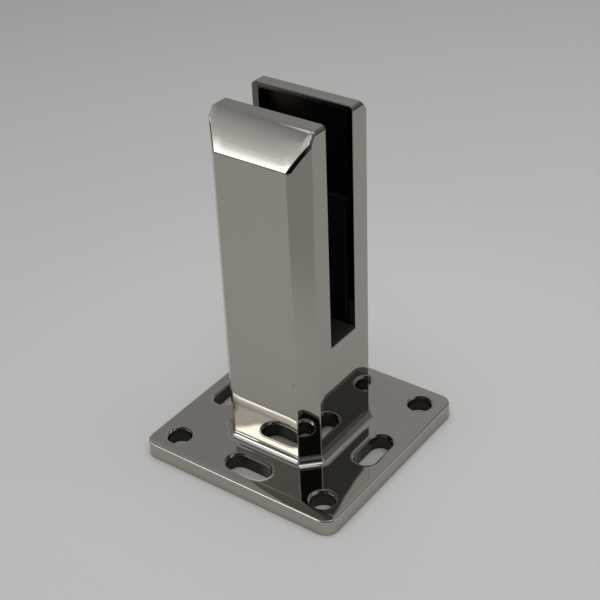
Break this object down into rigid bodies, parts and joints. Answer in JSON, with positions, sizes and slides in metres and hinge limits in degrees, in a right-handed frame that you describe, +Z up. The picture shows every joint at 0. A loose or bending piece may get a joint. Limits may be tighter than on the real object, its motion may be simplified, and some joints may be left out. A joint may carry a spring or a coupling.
{
  "type": "glass railing spigot",
  "caption": "Mirror-polished steel post on a square base plate that clamps the lower edge of a glass railing panel.",
  "frame": {"origin": "centre of the base plate's underside", "axes": "+Z up along the post, the glass slot runs along X, the clean outer jaw is at -Y and the jaw with the screws at +Y"},
  "size_m": [0.1, 0.1, 0.1622],
  "materials": {
    "polished_steel": "mirror-polished cast stainless steel",
    "satin_steel": "plain rolled stainless sheet",
    "screw_steel": "plain stainless set screw",
    "black_rubber": "smooth black rubber sheet",
    "block_rubber": "dull dark grey rubber strip"
  },
  "bodies": {
    "body": {"spigot_body": "polished_steel", "fixed_pad": "black_rubber", "setting_block": "block_rubber"},
    "clamp_plate": {"pressure_plate": "satin_steel", "pressure_pad": "black_rubber"},
    "lower_screw": {"clamp_screw_lower": "screw_steel"},
    "upper_screw": {"clamp_screw_upper": "screw_steel"}
  },
  "joints": [
    {"name": "clamp_slide", "type": "slide", "parent": "body", "child": "clamp_plate", "axis": [0, -1, 0], "range_m": [0, 0.0045]},
    {"name": "lower_screw_turn", "type": "hinge", "parent": "clamp_plate", "child": "lower_screw", "pos_m": [0, 0.018, 0.0754], "axis": [0, -1, 0], "range_deg": [0, 1080]},
    {"name": "upper_screw_turn", "type": "hinge", "parent": "clamp_plate", "child": "upper_screw", "pos_m": [0, 0.018, 0.1074], "axis": [0, -1, 0], "range_deg": [0, 1080]}
  ],
  "couplings": [
    {"joint": "lower_screw_turn", "follows": "clamp_slide", "rad_per_m": 4188.8},
    {"joint": "upper_screw_turn", "follows": "clamp_slide", "rad_per_m": 4188.8}
  ]
}
